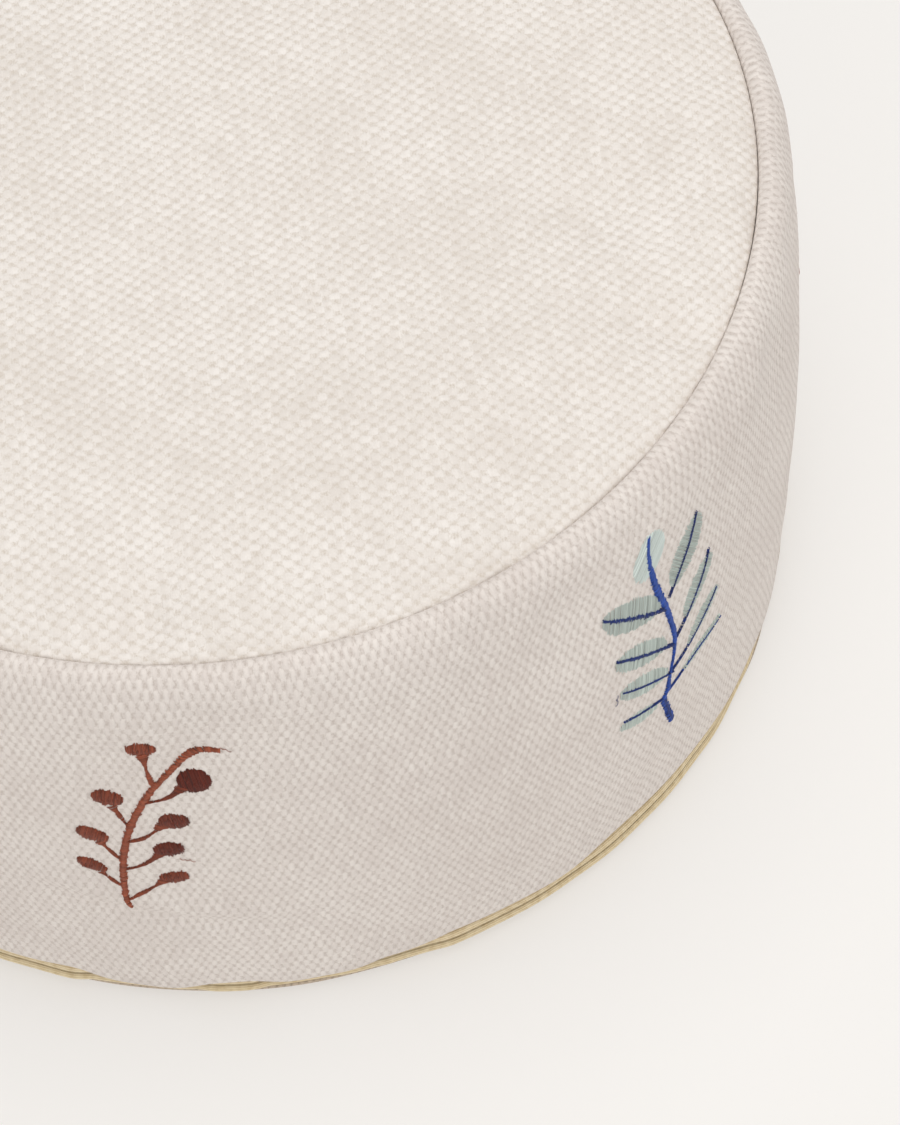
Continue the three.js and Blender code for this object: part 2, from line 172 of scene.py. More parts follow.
def set_weave(piece, coordinates):
    """Stores each vertex's place on the flat cloth, in metres, which the weave is drawn in."""
    attribute = piece.data.attributes.new("weave", "FLOAT_VECTOR", "POINT")
    flat = np.zeros((len(piece.data.vertices), 3))
    flat[:, :2] = coordinates
    attribute.data.foreach_set("vector", flat.ravel())


def ring_points(az, r, z):
    return np.stack([r * np.cos(az), r * np.sin(az), z], -1)


def strip_faces(columns, rows):
    """Faces of a strip: a section that is a closed loop of points, swept through columns, with end caps."""
    faces = []
    for i in range(columns - 1):
        here, there = i * rows, (i + 1) * rows
        for j in range(rows):
            k = (j + 1) % rows
            faces.append((here + j, there + j, there + k, here + k))
    last = (columns - 1) * rows
    faces.append(tuple(range(rows)))
    faces.append(tuple(last + j for j in reversed(range(rows))))
    return faces


def strip_piece(name, az, r, z, along):
    """A strip that runs round the pouf: its points by column, and how far along the flat cloth each lies."""
    vertices = ring_points(az[:, None], r, z).reshape(-1, 3)
    piece = object_from(name, vertices, strip_faces(*r.shape))
    flat = np.stack(np.broadcast_arrays(az[:, None] * POUF_R, along[None, :]), -1)
    set_weave(piece, flat.reshape(-1, 2))
    return piece


# --- Outlines, in millimetres as radius and height, counter-clockwise ---

BAND_FACE = [
    (235, 13.4), (241, 13.4), (244.4, 13.6), (245.6, 14.6), (246, 17), (246.5, 30), (247.8, 54), (249, 78),
    (250, 130), (248.6, 180), (245.8, 220), (244, 232), (242, 239.5), (239.6, 244.6), (237, 248),
    (234.4, 249.6), (232.2, 249.4), (230.6, 248.2), (230, 246.2), (229.9, 243.4), (229.9, 236.2),
]
BAND_LINING = [
    (231.9, 236.2), (231.9, 243), (232.7, 246), (234.6, 245.8), (237.2, 242.4), (240, 236), (243.8, 220),
    (246.6, 180), (248, 130), (247, 78), (244.4, 30), (243.6, 18), (243, 15.6), (240, 15.4), (235, 15.4),
]
TOP_SHEET = [
    (0, 258), (90, 257.7), (165, 255.6), (208, 251.2), (220, 247.8), (225.6, 245.6), (227.4, 243),
    (227.5, 236.1), (229.5, 236.1), (229.5, 242), (229.8, 244.8), (229.7, 246.2), (228.6, 247.2),
    (225, 248.6), (218, 251), (208, 253.3), (190, 255.6), (165, 257.6), (130, 259), (90, 259.7), (50, 260),
    (0, 260),
]
BASE_SHEET = [
    (0, 0), (120, 0), (226, 0), (233, 0.3), (239, 1.2), (243, 2.8), (244.9, 4.2), (245, 5), (244.4, 5.6),
    (240, 5.7), (235, 5.3), (233.5, 4), (235, 3), (226, 2.1), (120, 2), (0, 2),
]
CUSHION = [
    (0, 2.8), (120, 2.8), (222, 3), (228, 7), (232, 16.5), (240, 48), (243.4, 130), (241.6, 180),
    (235.4, 220), (231, 230), (222, 237), (210, 243.4), (165, 252), (100, 255.2), (0, 256.4),
]


# --- Cloth simulation of the cover ---

SIM_COLUMNS = 144
SIM_TOP_ROWS, SIM_BAND_ROWS, SIM_BASE_ROWS = 20, 26, 7
SIM_FRAMES = 20
SIM_PRESSURE = 4
SIM_CAP = 8 * MM
SIM_SIDE = [(230, 247.5), (239, 242), (245.8, 220), (250, 130), (246.5, 30), (243, 12)]
SIM_CROWN_DROP = 0.011
SIM_FOOT_R, SIM_FOOT_Z = 0.243, 0.002
SIM_UNEVENNESS = 0.0004
SEAM_HOLD = 0.25
SEAM_PULL = 0.035


def sim_profile():
    """The coarse outline of the stuffed cover, from the crown out, down the side and in under the base."""
    shares = [k / SIM_TOP_ROWS for k in range(1, SIM_TOP_ROWS)]
    top = [(SEAM_R * share, CROWN_Z - SIM_CROWN_DROP * share**4) for share in shares]
    band = smooth_path(SIM_SIDE, 300)
    length = arc_lengths(band)
    even = np.linspace(0, length[-1], SIM_BAND_ROWS)
    side = [(np.interp(s, length, band[:, 0]), np.interp(s, length, band[:, 1])) for s in even]
    base = [(SIM_FOOT_R * (1 - k / SIM_BASE_ROWS), SIM_FOOT_Z) for k in range(1, SIM_BASE_ROWS)]
    return np.array(top + side + base)


def sim_mesh(profile):
    """A closed mesh of rings with a point at each pole, very slightly uneven so that wrinkles can start."""
    az = np.arange(SIM_COLUMNS) / SIM_COLUMNS * TAU
    rings = []
    for r, z in profile:
        uneven = SIM_UNEVENNESS * ripple2(31, az, z, 3, 24, 0.12)
        rings.append(ring_points(az, r + uneven, np.full_like(az, z)))
    vertices = np.vstack(rings + [[[0, 0, CROWN_Z]], [[0, 0, SIM_FOOT_Z]]])
    crown, foot = len(vertices) - 2, len(vertices) - 1
    faces = []
    for k in range(len(profile) - 1):
        upper, lower = k * SIM_COLUMNS, (k + 1) * SIM_COLUMNS
        for i in range(SIM_COLUMNS):
            j = (i + 1) % SIM_COLUMNS
            faces.append((upper + i, lower + i, lower + j, upper + j))
    last = (len(profile) - 1) * SIM_COLUMNS
    for i in range(SIM_COLUMNS):
        j = (i + 1) % SIM_COLUMNS
        faces.append((crown, i, j))
        faces.append((foot, last + j, last + i))
    return object_from("swelling_cover", vertices, faces)


def swelling():
    """Inflates the stuffed cover with its two seams drawn in, and returns how far the cloth moved outwards
    from round: one Field for the top, read by radius, and one for the side, read by height."""
    profile = sim_profile()
    cover = sim_mesh(profile)
    pinned = cover.vertex_groups.new(name="pinned")
    drawn_in = cover.vertex_groups.new(name="drawn_in")
    side_start, side_end = SIM_TOP_ROWS - 1, SIM_TOP_ROWS + SIM_BAND_ROWS - 2
    for row in (side_start, side_end):
        ring = list(range(row * SIM_COLUMNS, (row + 1) * SIM_COLUMNS))
        drawn_in.add(ring, 1, "REPLACE")
        pinned.add(ring, SEAM_HOLD, "REPLACE")
    base_start, crown = (side_end + 1) * SIM_COLUMNS, len(cover.data.vertices) - 2
    pinned.add([*range(base_start, crown), crown + 1], 1, "REPLACE")
    modifier = cover.modifiers.new("Cloth", "CLOTH")
    cloth = modifier.settings
    cloth.quality = 6
    cloth.mass = 0.4
    cloth.tension_stiffness = cloth.compression_stiffness = 25
    cloth.shear_stiffness = 8
    cloth.bending_stiffness = 1.5
    cloth.use_pressure = True
    cloth.uniform_pressure_force = SIM_PRESSURE
    cloth.vertex_group_mass = "pinned"
    cloth.pin_stiffness = 1
    cloth.vertex_group_shrink = "drawn_in"
    cloth.shrink_min, cloth.shrink_max = 0, SEAM_PULL
    cloth.effector_weights.gravity = 0
    modifier.collision_settings.use_collision = False
    scene = bpy.context.scene
    scene.frame_start, scene.frame_end = 1, SIM_FRAMES
    before = np.array([v.co[:] for v in cover.data.vertices])
    for number in range(1, SIM_FRAMES + 1):
        scene.frame_set(number)
    evaluated = cover.evaluated_get(bpy.context.evaluated_depsgraph_get()).to_mesh()
    after = np.array([v.co[:] for v in evaluated.vertices])
    scene.frame_set(1)
    bpy.data.objects.remove(cover)
    moved = after - before
    size = np.linalg.norm(moved, axis=1, keepdims=True)
    moved = moved * np.minimum(1, SIM_CAP / np.maximum(size, 1e-9))
    rows = len(profile)
    grid = moved[:rows * SIM_COLUMNS].reshape(rows, SIM_COLUMNS, 3)
    az = np.arange(SIM_COLUMNS) / SIM_COLUMNS * TAU
    lift = grid[:side_start + 1, :, 2]
    out = grid[side_start:side_end + 1, :, 0] * np.cos(az) + grid[side_start:side_end + 1, :, 1] * np.sin(az)
    top = np.vstack([np.zeros((1, SIM_COLUMNS)), lift - lift.mean(1, keepdims=True)])
    side = (out - out.mean(1, keepdims=True))[::-1]
    return Field(top, 0, SEAM_R), Field(side, HEM_Z, ROLL_Z)


top_swelling, side_swelling = swelling()


# --- Where the cloth lies ---

# Shallow hollows pressed into the top, as x, y, width and depth in millimetres.
HOLLOWS = [(117, -156, 18, 4.2), (152, -128, 15, 3.4), (124, -180, 12, 2.2), (184, -98, 17, 3),
           (60, -190, 22, 2), (166, -40, 24, 3), (24, -60, 90, 1.4), (-60, 90, 60, 2), (-140, -90, 28, 2.6),
           (90, 150, 34, 2.4)]
# Where the hem sags over the zip, as azimuth and width in degrees and depth in millimetres.
HEM_SAGS = [(-101, 5.5, 7.2), (-83.5, 5.5, 7.2), (-74, 3, 1.5), (-128, 6, 2.5), (-14, 17, 4), (-160, 5, 2),
            (-54, 15, -1.2)]
# Where the top seam gapes, as azimuth and width in degrees.
SEAM_GAPS = [(-77.5, 3), (-62, 5), (-12, 11), (-45, 3), (-110, 4), (30, 6), (80, 8), (140, 5), (200, 7)]
# Heights between which the side's wall gives way to its roll, and the roll rises to full size.
WALL_END = (0.226, 0.246)
ROLL_RISE = (0.228, 0.247)
# Radii between which the band's seam flange gives way to the roll, and the hem's fold to its outer face.
ROLL_INNER = (0.2302, 0.234)
HEM_INNER = (0.2405, 0.2438)
# Radii between which the top's rim starts and ends, its sway dies down, and the seam's gape opens.
RIM_RISE, RIM_END = (0.19, 0.226), (0.2265, 0.2295)
TOP_SETTLE, SEAM_EDGE = (0.222, 0.2295), (0.222, 0.2285)
TOP_LIMIT = 2 * MM


def seam_gape(az):
    return sum(bell(turn_from(az, middle), 0, width) for middle, width in SEAM_GAPS)


def side_bulge(az, z):
    """How far the side stands out from its round outline, in metres, without the seam and hem."""
    along = z - HEM_Z
    broad = 0.5 * MM * ripple2(11, az, along, 2, 9, 0.3)
    fine = 0.16 * MM * ripple2(12, az, along, 20, 60, 0.06)
    fold_z = 0.086 - 0.0011 * turn_from(az, -98)
    ridge, furrow = bell(z, fold_z + 0.006, 0.008), bell(z, fold_z - 0.005, 0.007)
    fold = bell(turn_from(az, -97), 0, 11) * (2.2 * MM * ridge - 2.6 * MM * furrow)
    crease = -0.9 * MM * bell(turn_from(az, -19) + (z - 0.19) * 60, 0, 2.2) * ease(z, 0.12, 0.2)
    return 0.55 * side_swelling(az, z) + broad + fine + fold + crease


def hem_sag(az):
    sags = (depth * MM * np.exp(-((turn_from(az, middle) / width) ** 4)) for middle, width, depth in HEM_SAGS)
    return sum(sags) + 0.3 * MM * ripple(21, az, 9, 40)


def shape_side(az, r, z):
    """Moves points of the round side band, inner and outer, to where the cloth lies."""
    wall = ease(z, HEM_Z, HEM_Z + 0.03) * (1 - ease(z, *WALL_END))
    hem = 1 - ease(z, HEM_Z + 0.002, HEM_Z + 0.05)
    roll = ease(z, *ROLL_RISE) * ease(r, *ROLL_INNER)
    out = wall * side_bulge(az, z) + 0.4 * MM * hem * ripple(22, az, 5, 25)
    out = out + roll * (0.5 * MM * ripple(23, az, 8, 45) + 0.5 * MM * seam_gape(az))
    lift = roll * 0.45 * MM * ripple(24, az, 6, 40) - hem * ease(r, *HEM_INNER) * hem_sag(az)
    return r + out, z + lift


def shape_top(az, r, z):
    """Moves points of the round top panel to where the cloth lies."""
    x, y = r * np.cos(az), r * np.sin(az)
    rim = ease(r, *RIM_RISE) * (1 - ease(r, *RIM_END))
    lift = 0.5 * top_swelling(az, r) * (1 - ease(r, *TOP_SETTLE)) + 0.35 * MM * rim * ripple(25, az, 14, 60)
    lift = lift + 0.7 * MM * ripple2(26, az, r, 1, 4, 0.25) * ease(r, 0.0, 0.12) * (1 - ease(r, 0.2, 0.2295))
    for hx, hy, width, depth in HOLLOWS:
        lift = lift - depth * MM * np.exp(-((x - hx * MM) ** 2 + (y - hy * MM) ** 2) / (width * MM) ** 2)
    gape = ease(r, *SEAM_EDGE) * seam_gape(az)
    return r - 0.2 * MM * gape, z + np.minimum(lift, TOP_LIMIT) - 0.8 * MM * gape


# --- Cover pieces ---

BAND_COLUMNS = 560
TOP_COLUMNS = 440
BASE_COLUMNS = 480
JOIN_ROUND = 1.7 * MM
FILL_INSET = 1.6 * MM


def band_columns():
    """Azimuths from one end of the band to the other, with the inward set of its rounded, turned-in ends."""
    near = np.array([0, 0.05, 0.2, 0.5, 0.9, 1.4, 2.0]) * MM
    ends = near / POUF_R + math.radians(0.02)
    middle = np.linspace(ends[-1], TAU - ends[-1], BAND_COLUMNS)[1:-1]
    az = JOIN_AZ + np.concatenate([ends[:1], ends, middle, TAU - ends[::-1], TAU - ends[:1]])
    distance = np.minimum(az - JOIN_AZ, JOIN_AZ + TAU - az) * POUF_R
    depth = JOIN_ROUND - np.sqrt(np.maximum(0, JOIN_ROUND**2 - np.maximum(0, JOIN_ROUND - distance) ** 2))
    depth[[0, -1]] += 3 * MM
    return az, depth


def side_band():
    face, lining = smooth_path(BAND_FACE, 4.5), smooth_path(BAND_LINING, 9)
    section = np.vstack([face, lining])
    az, depth = band_columns()
    r = np.broadcast_to(section[:, 0], (len(az), len(section)))
    z = np.broadcast_to(section[:, 1], r.shape)
    r, z = shape_side(az[:, None], r, z)
    return strip_piece("side_band_cloth", az, r - depth[:, None], z, there_and_back(section))


def turned_piece(name, outline, spacing, columns, shape):
    """A piece turned about Z from an outline that starts and ends on the axis, at its foot and its crown."""
    section = smooth_path(outline, spacing)
    rings = section[1:-1]
    rows = len(rings)
    az = np.arange(columns) / columns * TAU
    r, z = shape(az[:, None], np.tile(rings[:, 0], (columns, 1)), np.tile(rings[:, 1], (columns, 1)))
    none = np.zeros(1)
    poles = [[0, 0, float(shape(none, none, np.full(1, end))[1][0])] for end in section[[0, -1], 1]]
    vertices = np.vstack([ring_points(az[:, None], r, z).reshape(-1, 3), poles])
    foot, crown = len(vertices) - 2, len(vertices) - 1
    faces = []
    for i in range(columns):
        here, there = i * rows, ((i + 1) % columns) * rows
        faces += [(here + j, there + j, there + j + 1, here + j + 1) for j in range(rows - 1)]
        faces += [(foot, there, here), (here + rows - 1, there + rows - 1, crown)]
    piece = object_from(name, vertices, faces)
    along = there_and_back(section)[1:-1]
    flat = np.stack([along * np.cos(az[:, None]), along * np.sin(az[:, None])], -1)
    set_weave(piece, np.vstack([flat.reshape(-1, 2), np.zeros((2, 2))]))
    return piece


def shape_base(az, r, z):
    """Lifts the edge of the base to meet the band where there is no zip, and lets it wander a little."""
    plain = ease(np.abs(turn_from(az, PLAIN_EDGE_MIDDLE)), *PLAIN_EDGE_RAMP)
    edge = ease(z, 3.2 * MM, 5 * MM) * ease(r, 0.23, 0.234)
    return r + 0.4 * MM * edge * ripple(28, az, 6, 30), z + edge * plain * (HEM_Z - GAP - BASE_EDGE_Z)


def shape_cushion(az, r, z):
    """Gives the inner cushion its own slight lumps, drawn inwards only, so that it stays in the cover."""
    return r - ease(r, 0, 0.1) * 0.7 * MM * (1 + ripple2(41, az, z, 3, 14, 0.2) / 2.5), z


def shape_filling(az, r, z):
    """The fill follows the cushion's lumps, a little further in."""
    r, z = shape_cushion(az, r, z)
    return np.maximum(r - FILL_INSET, 0), z + FILL_INSET * (1 - 2 * ease(z, 0.02, 0.2))


# --- Thread, laid in stitches ---

# The band's outer face as radius and height, from the hem to just past the crest of its roll.
FACE_PATH = smooth_path(BAND_FACE, 4.5)[:-8]
FACE_PATH = FACE_PATH[FACE_PATH[:, 1] > BAND_FACE[0][1] * MM]
NUDGE = 1 * MM
THREAD_FLATNESS = 0.7


def wall_point(az, z):
    """The point on the outside of the side band at an azimuth and an unshaped height."""
    r = np.interp(z, FACE_PATH[:, 1], FACE_PATH[:, 0])
    return ring_points(az, *shape_side(az, r, z))


def wall_frame(az, z):
    """Points on the outside of the side band, with the direction out of the cloth at each."""
    here = wall_point(az, z)
    around = wall_point(az + NUDGE / POUF_R, z) - wall_point(az - NUDGE / POUF_R, z)
    upward = wall_point(az, z + NUDGE) - wall_point(az, z - NUDGE)
    out = np.cross(around, upward)
    return here, out / np.linalg.norm(out, axis=-1, keepdims=True)


def thread_mesh(name, centres, outward, widths, tones, sides=6):
    """One mesh of many flattened tubes: centres and outward are stitches x steps x 3, widths one a stitch."""
    count, steps = centres.shape[:2]
    ahead = np.gradient(centres, axis=1)
    ahead /= np.linalg.norm(ahead, axis=-1, keepdims=True)
    sideways = np.cross(outward, ahead)
    sideways /= np.linalg.norm(sideways, axis=-1, keepdims=True)
    upright = np.cross(ahead, sideways)
    turn = np.arange(sides) / sides * TAU
    half = widths[:, None, None, None] / 2
    points = (centres[:, :, None] + half * np.cos(turn)[:, None] * sideways[:, :, None]
              + THREAD_FLATNESS * half * np.sin(turn)[:, None] * upright[:, :, None])
    faces = []
    for s in range(count):
        start = s * steps * sides
        for t in range(steps - 1):
            here, there = start + t * sides, start + (t + 1) * sides
            for k in range(sides):
                m = (k + 1) % sides
                faces.append((here + k, here + m, there + m, there + k))
        last = start + (steps - 1) * sides
        faces.append(tuple(start + k for k in reversed(range(sides))))
        faces.append(tuple(last + k for k in range(sides)))
    piece = object_from(name, points.reshape(-1, 3), faces)
    for label, values in zip(("tone", "dye"), tones):
        attribute = piece.data.attributes.new(label, "FLOAT", "POINT")
        attribute.data.foreach_set("value", np.repeat(values, steps * sides).astype(np.float32))
    return piece


class Needlework:
    """Stitches laid on the side band, in millimetres: x to the right of a motif's middle, y the height."""

    # Where the points of a stitch are along it, and how far out of the cloth each is, as a share of its rise.
    STEPS = np.array([0, 0.07, 0.3, 0.5, 0.7, 0.93, 1])
    ARCH = np.array([-1.2, 0.45, 0.9, 1, 0.9, 0.45, -1.2])

    def __init__(self, name, azimuth, seed, unevenness=0.3):
        self.name, self.azimuth, self.rng = name, math.radians(azimuth), np.random.RandomState(seed)
        self.unevenness = unevenness
        self.rows = []

    def stitch(self, start, end, width, rise, dye, tone=0.0):
        tone = tone + self.rng.normal(0, self.unevenness)
        self.rows.append((*start, *end, width * self.rng.uniform(0.85, 1.15), rise, dye, tone))

    def satin(self, path, widths, slant, pitch=0.42, width=0.55, rise=0.75, dye=0, ragged=0.18, skip=0.04):
        """Stitches side by side across a path, whose widths are given at even steps along it."""
        path = np.array(path, float)
        length = arc_lengths(path)
        count = max(2, int(length[-1] / pitch))
        for s in np.linspace(0, length[-1], count):
            x, y = np.interp(s, length, path[:, 0]), np.interp(s, length, path[:, 1])
            before, after = max(0, s - 0.5), min(length[-1], s + 0.5)
            dx = np.interp(after, length, path[:, 0]) - np.interp(before, length, path[:, 0])
            dy = np.interp(after, length, path[:, 1]) - np.interp(before, length, path[:, 1])
            across = math.atan2(dy, dx) + math.pi / 2 + math.radians(slant + self.rng.normal(0, 4))
            half = np.interp(s / length[-1], np.linspace(0, 1, len(widths)), widths) / 2
            if self.rng.rand() < skip:
                continue
            left, right = (half * (1 + self.rng.normal(0, ragged)) + self.rng.normal(0, 0.08)
                           for _ in range(2))
            c, d = math.cos(across), math.sin(across)
            self.stitch((x + left * c, y + left * d), (x - right * c, y - right * d), width, rise, dye)

    def oval(self, middle, length, width, tilt, lay, pitch, thread, rise, dye, ragged, tone=0.0):
        """Parallel stitches at the angle lay that fill an oval of a length and width, turned by tilt."""
        a, b, turn, run = length / 2, width / 2, math.radians(tilt - lay), math.radians(lay)
        c, s = math.cos(turn), math.sin(turn)
        stretch, skew = (c / a) ** 2 + (s / b) ** 2, c * s * (a**-2 - b**-2)
        reach = a * b * math.sqrt(stretch)
        along, across = np.array([math.cos(run), math.sin(run)]), np.array([-math.sin(run), math.cos(run)])
        for q in np.linspace(-reach, reach, int(2 * reach / pitch))[1:-1]:
            half = math.sqrt(stretch - (q / (a * b)) ** 2) / stretch
            centre = middle + across * (q + self.rng.normal(0, 0.05)) - along * skew * q / stretch
            start, end = (half + self.rng.normal(0, ragged) for _ in range(2))
            self.stitch(centre - along * start, centre + along * end, thread, rise, dye, tone)

    def tail(self, points, dye):
        """A loose end of thread lying on the cloth."""
        for start, end in zip(points, points[1:]):
            self.stitch(start, end, width=0.3, rise=0.5, dye=dye, tone=0.1)

    def mesh(self):
        rows = np.array(self.rows)
        t = self.STEPS
        x = rows[:, 0:1] + (rows[:, 2:3] - rows[:, 0:1]) * t
        y = rows[:, 1:2] + (rows[:, 3:4] - rows[:, 1:2]) * t
        rise = rows[:, 5:6] * self.ARCH
        here, out = wall_frame(self.azimuth + x * MM / POUF_R, y * MM)
        centres = here + out * (rise * MM)[..., None]
        return thread_mesh(self.name, centres, out, rows[:, 4] * MM, (rows[:, 7], rows[:, 6]))


# Motifs in millimetres, x to the right along the band and y the height.
FERN_STEM = [(7, 76), (3.5, 89), (0.5, 102.5), (3, 107), (3.5, 116), (4.5, 122), (6.5, 133.5), (7, 145),
             (5, 159), (2.5, 171.5), (-1, 185), (-3, 198), (-4.5, 214.5), (-3.5, 225)]
FERN_STEM_WIDTHS = [3.0, 3.4, 3.2, 3.2, 2.8, 0.9, 1.0, 1.8, 2.5, 2.6, 2.7, 2.9, 3.8, 3.4, 3.0, 2.6, 2.0, 1.6]
FERN_FOOT_WIDTHS = [2.8, 3.2, 2.8]
# Each leaf: middle, length, width, tilt, angle of its stitches and tone. The top leaf has a tone of its own.
FERN_LEAVES = [
    ((-14.5, 106.5), 25, 9.5, 155, 85, 0.1), ((-11.5, 129.5), 33, 14, 146, 85, 0.05),
    ((-12.5, 153), 36, 15.5, 143, 82, 0), ((-15.5, 185), 38, 19, 141, 80, -0.1),
    ((27, 111), 29, 8, 12, 100, 0.1), ((27, 133.5), 28, 11, 42, 120, 0.05),
    ((23.5, 161), 31, 14, 57, 125, 0), ((17.5, 193), 36, 17, 61, 124, -0.05),
]
TOP_LEAF = ((-4, 213), 29, 18, 70, 55)
# Each midrib: root, tip, bow to the left, width and how dark its thread is.
FERN_RIBS = [
    ((-1, 103.5), (-23.5, 114), 0.3, 1.4, 0.7), ((5, 118.5), (-24, 138), 0.8, 1.6, 0.7),
    ((5, 139.5), (-26.5, 164), 0.6, 2.5, 0.8), ((2, 169.5), (-30.5, 196), 0.3, 2.9, 0.8),
    ((3.5, 106), (41, 113), 1.5, 0.8, 0.4), ((6.5, 120.5), (36, 143), -3.5, 1.3, 0.7),
    ((9, 143), (31, 177.5), -3, 1.5, 0.8), ((6, 175.5), (25, 210.5), -1.5, 1.7, 0.9),
]
# How wide a midrib is at even steps from its root, as a share of its width.
RIB_TAPER = [0.8, 0.9, 1, 1.05, 1, 1.05, 0.95, 0.75, 0.5]
BERRY_STEM = [(-15, 91.5), (-16, 96), (-16.5, 104.5), (-15.5, 120.5), (-13.5, 136), (-10.5, 151),
              (-7, 162.5), (-2, 175.5), (2.5, 185.5), (7.5, 193), (13, 200), (16, 204), (20, 207.5),
              (25, 208.5), (30.5, 207)]
BERRY_STEM_WIDTHS = [1.4, 2.4, 2.8, 2.9, 2.8, 2.8, 3.0, 3.0, 2.8, 2.4, 3.0, 4.2, 2.6]
# Each berry: middle, length, width, tilt, and how dark its thread is; then the points of its stalk.
BERRIES = [
    ((-28, 122.5), 14, 8.5, -38, 0.5, [(-16.5, 107), (-20, 110.5), (-25, 118)]),
    ((-25, 148), 14, 10.5, -35, 0.4, [(-14.5, 129.5), (-18, 134), (-22.5, 143)]),
    ((-16, 177.5), 13, 11, -20, 0.45, [(-9, 156), (-11, 161), (-14.5, 172)]),
    ((4.5, 116.5), 12.5, 9, 12, 0.5, [(-16, 97.5), (-8.5, 104), (0.5, 113.5)]),
    ((4.5, 139.5), 12.5, 11.5, 10, 0.9, [(-15, 122), (-7, 127), (1, 136)]),
    ((8.5, 161.5), 12.5, 12, 12, 0.75, [(-11.5, 145), (-4, 149), (4.5, 158.5)]),
    ((19, 189.5), 13.5, 14.5, 18, 1, [(-2.5, 174.5), (6.5, 178.5), (14.5, 186)]),
    ((0.5, 212.5), 12, 8.5, -4, 0.35, [(3, 187.5), (1.5, 197), (1, 209)]),
]


def bowed(root, tip, bow, count=14):
    """A line from root to tip, bowed to its left by bow at its middle."""
    t = np.linspace(-0.03, 1, count)[:, None]
    root, run = np.array(root, float), np.array(tip, float) - root
    left = np.array([-run[1], run[0]]) / np.linalg.norm(run)
    return root + run * t + left * bow * np.sin(t * math.pi)


def fern(number, azimuth):
    leaves = Needlework(f"fern_leaf_stitches_{number}", azimuth, 100 + number, unevenness=0.15)
    stem = Needlework(f"fern_stem_stitches_{number}", azimuth, 200 + number)
    for middle, length, width, tilt, lay, tone in FERN_LEAVES:
        leaves.oval(middle, length, width, tilt, lay, pitch=0.62, thread=0.52, rise=0.4, dye=0, ragged=0.45,
                    tone=tone)
    leaves.oval(*TOP_LEAF, pitch=0.6, thread=0.5, rise=0.35, dye=1, ragged=0.3, tone=0.1)
    for root, tip, bow, width, dye in FERN_RIBS:
        stem.satin(bowed(root, tip, bow), np.array(RIB_TAPER) * width, slant=30, pitch=0.5, width=0.5,
                   rise=0.8, dye=dye, ragged=0.25, skip=0.05)
    stem.satin(smooth_path(FERN_STEM, 4) / MM, FERN_STEM_WIDTHS, slant=24)
    stem.satin(smooth_path(FERN_STEM[:3], 4) / MM, FERN_FOOT_WIDTHS, slant=34, pitch=0.8, rise=0.9, dye=0.8,
               ragged=0.25, skip=0.1)
    stem.tail([(-26.5, 139), (-27.5, 136.5), (-26.6, 134.5), (-28, 132)], dye=1)
    return leaves.mesh(), stem.mesh()


def berry_sprig(number, azimuth):
    sprig = Needlework(f"berry_sprig_stitches_{number}", azimuth, 300 + number)
    for middle, length, width, tilt, dye, stalk in BERRIES:
        points = smooth_path(stalk, 3) / MM
        lumps = 1.7 + 0.8 * np.sin(np.linspace(0, 9, 20) + number + middle[1])
        flare = np.maximum(0, np.linspace(-2.2, 0.8, 20)) * width / 2
        sprig.satin(points, lumps + flare, slant=20, pitch=0.48, width=0.5, rise=0.6, dye=0.6 * dye,
                    ragged=0.1, skip=0.02)
        sprig.oval(middle, length, width, tilt, 92 + tilt / 2, pitch=0.44, thread=0.56, rise=0.65, dye=dye,
                   ragged=0.5)
        for x, y in sprig.rng.uniform(-1, 1, (16, 2)) * (length / 3.2, width / 6) + middle:
            sprig.stitch((x, y - 2), (x + 0.4, y + 2), width=0.5, rise=0.85, dye=min(1, dye + 0.2))
    sprig.satin(smooth_path(BERRY_STEM, 4) / MM, BERRY_STEM_WIDTHS, slant=18, width=0.58, skip=0.02)
    sprig.tail([(8, 131.5), (10, 130.5), (12, 130.5), (14, 129)], dye=0.2)
    sprig.tail([(31, 209), (33, 208), (35, 206.5)], dye=0.2)
    return sprig.mesh()


# Seven motifs evenly spaced round the side, the first of them a berry sprig near the front.
MOTIF_COUNT = 7
FIRST_MOTIF = -96.5
FERN_MOTIFS, BERRY_MOTIFS = (1, 3, 4, 6), (0, 2, 5)


def motif_azimuth(motif):
    return FIRST_MOTIF + motif * 360 / MOTIF_COUNT


def running_stitches(name, points, outward, width, share=0.82):
    """A line of short stitches through a row of points, each dipping into the cloth at both ends."""
    count = len(points) - 1
    t = np.array([0, 0.12, 0.4, 0.7, 1]) * share
    rise = np.array([-1, 0.4, 1, 0.4, -1]) * width / 2
    start, end = points[:-1, None], points[1:, None]
    out = np.broadcast_to(outward[:-1, None], (count, len(t), 3))
    centres = start + (end - start) * t[:, None] + out * rise[:, None]
    tones = np.random.RandomState(51).normal(0, 0.15, count)
    return thread_mesh(name, centres, out, np.full(count, width), (tones, tones * 0))


TOP_SEAM_STITCHES = 420
TOP_SEAM_Z = 0.242
JOIN_STITCHES = 55
JOIN_HEIGHTS = (0.02, 0.226)
JOIN_DEPTH = 1.2 * MM
SEAM_THREAD = 0.6 * MM


def top_seam_stitches():
    az = np.linspace(0, TAU, TOP_SEAM_STITCHES + 1)
    r, z = SEAM_R - CLOTH - GAP, TOP_SEAM_Z
    points = ring_points(az, np.full_like(az, r), np.full_like(az, z))
    inward = -ring_points(az, np.ones_like(az), 0 * az)
    return running_stitches("top_seam_stitches", points, inward, SEAM_THREAD)


def join_stitches():
    z = np.linspace(*JOIN_HEIGHTS, JOIN_STITCHES + 1)
    points, out = wall_frame(np.full_like(z, JOIN_AZ), z)
    return running_stitches("band_join_stitches", points - out * JOIN_DEPTH, out, SEAM_THREAD)


# --- Zip ---

